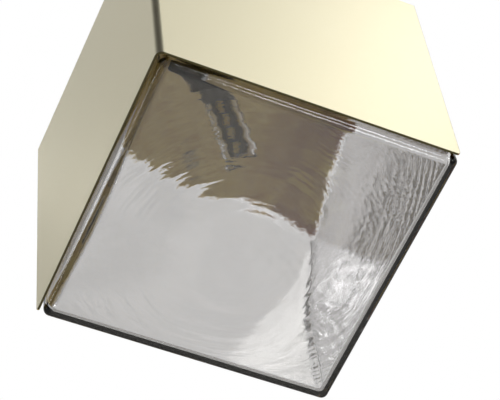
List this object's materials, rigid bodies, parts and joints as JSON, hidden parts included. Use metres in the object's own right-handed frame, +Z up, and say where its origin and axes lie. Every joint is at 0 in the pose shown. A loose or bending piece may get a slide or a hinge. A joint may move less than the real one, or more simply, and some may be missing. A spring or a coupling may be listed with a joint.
{
  "type": "hanging lamp head",
  "caption": "Cube lamp head that hangs by its corner: folded metal faces above, a hollow smoked glass cube below, and a capsule bulb on the axis.",
  "frame": {"origin": "on the lamp's axis, on the top nut's upper face, where a rod or a cord grip seats on the thread", "axes": "+Z up along the thread and the cube's body diagonal; -Y towards the front fold of the metal corner"},
  "size_m": [0.1838, 0.2111, 0.2447],
  "materials": {
    "pale_gold": "mirror polished, lacquered",
    "smoked_glass": "smoked, rippled",
    "clear_cover": "clear, gloss",
    "zinc_steel": "zinc plated",
    "spring_steel": "rolled",
    "block_aluminium": "milled",
    "dark_cup": "satin black",
    "ceramic": "unglazed steatite",
    "contact_brass": "rolled",
    "fibre": "pressed",
    "brown_sleeve": "satin",
    "blue_sleeve": "satin",
    "splice_plastic": "gloss",
    "silicone": "clear, satin",
    "base_plastic": "satin",
    "pin_wire": "bright",
    "board": "matt",
    "core_board": "satin",
    "phosphor": "silicone gel"
  },
  "bodies": {
    "hanger": {"corner_shell": "pale_gold", "corner_saddle": "pale_gold", "top_nut": "pale_gold", "corner_block": "block_aluminium", "hanging_stem": "zinc_steel", "block_nut": "zinc_steel", "clip_nut": "zinc_steel", "cup_lock_nut": "zinc_steel", "cup_nut": "zinc_steel", "lock_washer": "zinc_steel", "earth_tag": "zinc_steel", "glass_clip": "spring_steel", "shell_bumpers": "silicone", "holder_cup": "dark_cup", "insulating_disc": "fibre", "lampholder": "ceramic", "holder_contacts": "contact_brass", "holder_screws": "zinc_steel", "live_lead": "brown_sleeve", "neutral_lead": "blue_sleeve", "splice_caps": "splice_plastic"},
    "glass": {"glass_cube": "smoked_glass", "rim_gasket": "silicone"},
    "bulb": {"bulb_base": "base_plastic", "bulb_pins": "pin_wire", "bulb_driver": "board", "bulb_core": "core_board", "bulb_chips": "phosphor", "bulb_cover": "clear_cover"}
  },
  "joints": [
    {"name": "glass_slide", "type": "slide", "parent": "hanger", "child": "glass", "axis": [0, 0, -1], "range_m": [0, 0.15], "deforming": ["glass_clip"]},
    {"name": "bulb_slide", "type": "slide", "parent": "hanger", "child": "bulb", "axis": [0, 0, -1], "range_m": [0, 0.03]}
  ]
}
